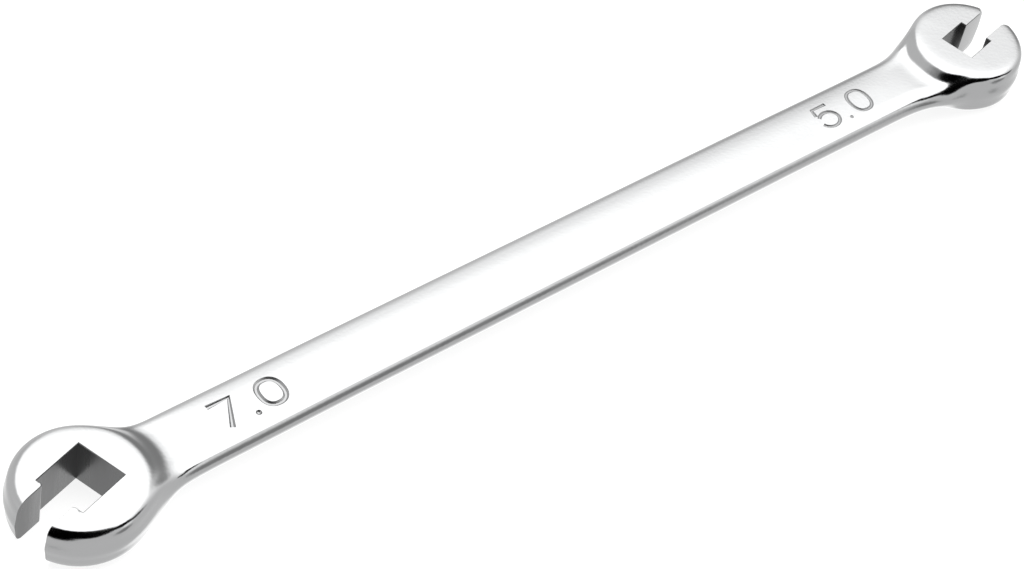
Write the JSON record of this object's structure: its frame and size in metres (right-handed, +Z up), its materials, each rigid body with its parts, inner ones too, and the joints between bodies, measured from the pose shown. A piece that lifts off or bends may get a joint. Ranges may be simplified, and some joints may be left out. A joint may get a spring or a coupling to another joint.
{
  "type": "spoke wrench",
  "caption": "Flat double-ended spoke wrench: a plain rounded shank with a round head at each end, each head holding a square socket that a slanted slot opens to the rim.",
  "frame": {"origin": "centre of the bounding box in plan, at the level of the heads' undersides", "axes": "+X along the wrench from the large head to the small head, +Z up out of the flat faces, +Y across the shank"},
  "size_m": [0.1656, 0.0176, 0.0067],
  "materials": {
    "plated_steel": "satin to bright chrome plate over a forged steel blank"
  },
  "bodies": {
    "root": {"large_head": "plated_steel", "shank": "plated_steel", "small_head": "plated_steel"}
  },
  "joints": []
}
